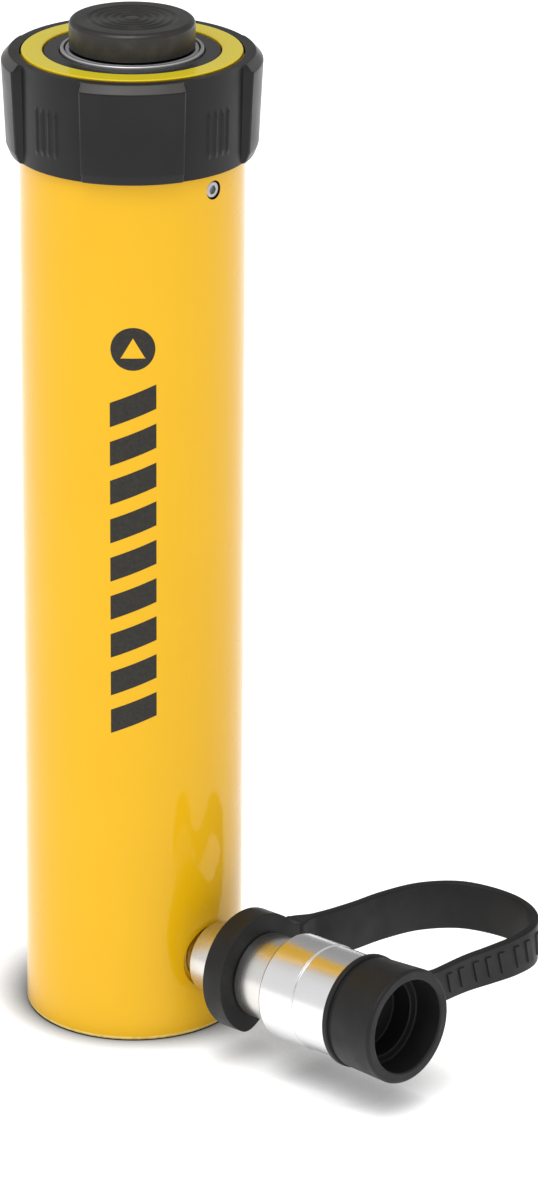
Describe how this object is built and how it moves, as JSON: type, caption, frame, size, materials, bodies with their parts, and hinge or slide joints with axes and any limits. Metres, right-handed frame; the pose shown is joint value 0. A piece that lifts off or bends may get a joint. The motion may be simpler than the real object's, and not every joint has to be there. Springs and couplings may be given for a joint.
{
  "type": "hydraulic cylinder",
  "caption": "Single-acting spring-return hydraulic cylinder with a threaded collar, grooved saddle, quick coupler and tethered dust cap.",
  "frame": {"origin": "centre of the base's flat bottom face, on the barrel's axis", "axes": "+Z along the stroke, towards the saddle; +X is the side that the coupler points to; +Y is the side that the dust cap's strap loops to"},
  "size_m": [0.1587, 0.1216, 0.3297],
  "materials": {
    "yellow_paint": "glossy yellow enamel",
    "dark_steel": "blackened steel",
    "bronze": "machined bearing bronze",
    "bright_steel": "bright turned steel",
    "hard_chrome": "ground hard chrome",
    "plain_steel": "machined steel",
    "spring_steel": "oil tempered wire",
    "nickel_plate": "satin nickel plate",
    "bright_plate": "bright zinc plate",
    "black_oxide": "black oxide, hardened",
    "black_plastic": "moulded black plastic",
    "black_rubber": "moulded black rubber",
    "seal_rubber": "nitrile seal",
    "backup_plastic": "white PTFE"
  },
  "bodies": {
    "cylinder": {"cylinder_body": "yellow_paint", "stop_ring": "dark_steel", "gland_bearing": "bronze", "wiper_ring": "bright_steel", "stop_ring_lock_screw": "plain_steel", "spring_anchor": "plain_steel", "return_spring": "spring_steel", "port_nipple": "nickel_plate", "coupler_body": "nickel_plate", "coupler_mouth_seal": "seal_rubber", "sleeve_retaining_ring": "spring_steel", "poppet_guide": "plain_steel", "poppet_spring": "spring_steel"},
    "plunger": {"plunger": "hard_chrome", "plunger_u_cup": "seal_rubber", "u_cup_backup_ring": "backup_plastic", "plunger_wear_ring": "bronze", "spring_upper_plug": "plain_steel", "plug_retaining_ring": "spring_steel"},
    "saddle": {"saddle": "black_oxide", "saddle_retaining_ring": "seal_rubber"},
    "thread_protector": {"thread_protector": "black_plastic"},
    "coupler_sleeve": {"coupler_sleeve": "bright_plate"},
    "poppet": {"coupler_poppet": "plain_steel"},
    "tether": {"tether_clip": "black_rubber", "tether_strap": "black_rubber"},
    "dust_cap": {"dust_cap": "black_rubber"}
  },
  "joints": [
    {"name": "plunger_stroke", "type": "slide", "parent": "cylinder", "child": "plunger", "axis": [0, 0, 1], "range_m": [0, 0.203], "stiffness_N_per_m": 500, "springref_m": -0.2, "deforming": ["return_spring"]},
    {"name": "saddle_lift", "type": "slide", "parent": "plunger", "child": "saddle", "axis": [0, 0, 1], "range_m": [0, 0.03]},
    {"name": "protector_lift", "type": "slide", "parent": "cylinder", "child": "thread_protector", "axis": [0, 0, 1], "range_m": [0, 0.04]},
    {"name": "sleeve_spin", "type": "hinge", "parent": "cylinder", "child": "coupler_sleeve", "pos_m": [0.08588, 0, 0.02772], "axis": [0.999, 0, 0.0436], "continuous": true},
    {"name": "poppet_press", "type": "slide", "parent": "cylinder", "child": "poppet", "axis": [-0.999, 0, -0.0436], "range_m": [0, 0.003], "stiffness_N_per_m": 2000, "springref_m": -0.003, "deforming": ["poppet_spring"]},
    {"name": "tether_swing", "type": "hinge", "parent": "cylinder", "child": "tether", "pos_m": [0.05391, 0, 0.02633], "axis": [0.999, 0, 0.0436], "continuous": true},
    {"name": "cap_pull", "type": "slide", "parent": "tether", "child": "dust_cap", "axis": [0.999, 0, 0.0436], "range_m": [0, 0.025], "deforming": ["tether_strap"]}
  ]
}
